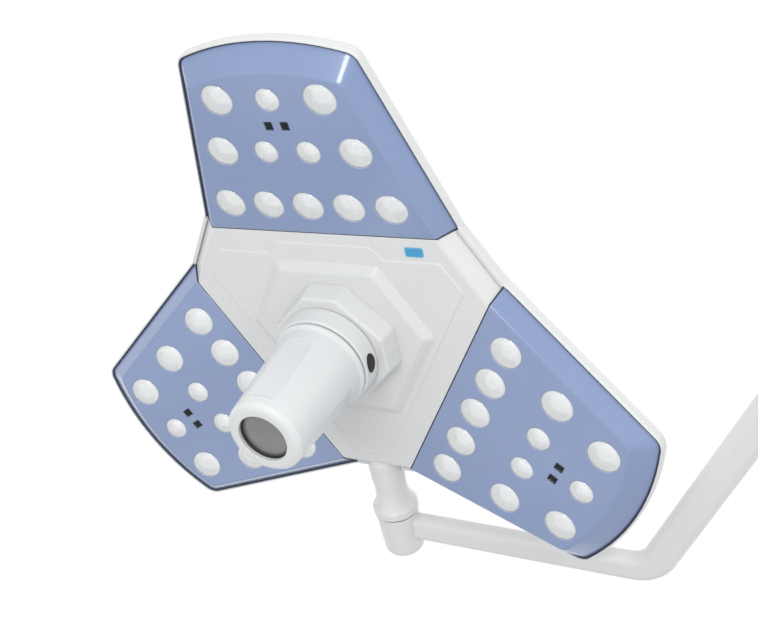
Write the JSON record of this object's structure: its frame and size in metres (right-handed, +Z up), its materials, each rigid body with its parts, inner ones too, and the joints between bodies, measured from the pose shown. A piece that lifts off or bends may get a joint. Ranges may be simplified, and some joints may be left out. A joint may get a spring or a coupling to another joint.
{
  "type": "dental operating light",
  "caption": "Lobed LED operating light head with a central sterilisable handle, on a bent tubular bow with friction joints and a spigot for the ceiling arm.",
  "frame": {"origin": "middle of the arm spigot's plain wall, on the swing axis", "axes": "+X along the swing axis out of the head towards the arm, +Y towards the side the bow passes on, +Z up; the light shines towards -Z"},
  "size_m": [0.7853, 0.5837, 0.2148],
  "materials": {
    "blue_cover": "glossy",
    "dark_gasket": "matt",
    "clear_lens": "clear, moulded",
    "lens_holder": "matt",
    "led": "phosphor",
    "metal_core_board": "white solder mask",
    "heat_sink": "extruded",
    "white_shell": "satin",
    "sensor_black": "glossy",
    "badge": "glossy",
    "steel": "turned",
    "frame_casting": "cast",
    "circuit_board": "solder mask",
    "bush_bronze": "plain",
    "brake_lining": "matt",
    "white_paint": "satin powder coat",
    "button_dark": "satin",
    "camera_black": "black anodised",
    "window_grey": "polished"
  },
  "bodies": {
    "arm_coupling": {"arm_spigot": "steel", "arm_collar": "white_shell", "swing_circlip": "steel"},
    "bow": {"bow_tube": "white_paint", "tilt_housing": "white_paint", "swing_housing": "white_paint", "joint_caps": "white_shell", "joint_bushes": "bush_bronze", "brake_shoes": "brake_lining", "brake_screws": "steel", "joint_seals": "dark_gasket"},
    "head": {"petal_cover_1": "blue_cover", "petal_gasket_1": "dark_gasket", "large_lenses_1": "clear_lens", "small_lenses_1": "clear_lens", "led_board_1": "metal_core_board", "heat_sink_1": "heat_sink", "petal_cover_2": "blue_cover", "petal_gasket_2": "dark_gasket", "large_lenses_2": "clear_lens", "small_lenses_2": "clear_lens", "led_board_2": "metal_core_board", "heat_sink_2": "heat_sink", "petal_cover_3": "blue_cover", "petal_gasket_3": "dark_gasket", "large_lenses_3": "clear_lens", "small_lenses_3": "clear_lens", "led_board_3": "metal_core_board", "heat_sink_3": "heat_sink", "lens_holders": "lens_holder", "leds": "led", "distance_sensors": "sensor_black", "sensor_windows": "sensor_black", "rear_housing": "white_shell", "hub_cover": "white_shell", "boss_cover": "white_shell", "status_badge": "badge", "rear_cap": "white_shell", "housing_screws": "steel", "inner_frame": "frame_casting", "control_board": "circuit_board", "bearing_tube": "steel", "handle_bushes": "bush_bronze", "head_stub": "white_paint", "stub_bolts": "steel", "head_axle": "steel", "tilt_circlip": "steel"},
    "handle_core": {"core_collar": "white_shell", "core_tube": "frame_casting", "core_circlip": "steel", "camera_body": "camera_black", "camera_lens": "camera_black", "camera_window": "window_grey", "window_bezel": "button_dark", "button_spring": "steel"},
    "release_button": {"release_button": "button_dark", "latch_plate": "steel"},
    "sleeve": {"handle_sleeve": "white_shell", "sleeve_seal": "dark_gasket"}
  },
  "joints": [
    {"name": "bow_swing", "type": "hinge", "parent": "arm_coupling", "child": "bow", "pos_m": [-0.0625, 0, 0], "axis": [1, 0, 0], "range_deg": [-90, 90]},
    {"name": "head_tilt", "type": "hinge", "parent": "bow", "child": "head", "pos_m": [-0.462, 0.2485, 0], "axis": [0, 1, 0], "range_deg": [-90, 90]},
    {"name": "focus_turn", "type": "hinge", "parent": "head", "child": "handle_core", "pos_m": [-0.462, 0, -0.015], "axis": [0, 0, 1], "range_deg": [-45, 45]},
    {"name": "release_press", "type": "slide", "parent": "handle_core", "child": "release_button", "axis": [-1, 0, 0], "range_m": [0, 0.003], "stiffness_N_per_m": 1500, "springref_m": -0.001},
    {"name": "sleeve_pull", "type": "slide", "parent": "handle_core", "child": "sleeve", "axis": [0, 0, -1], "range_m": [0, 0.115]}
  ]
}
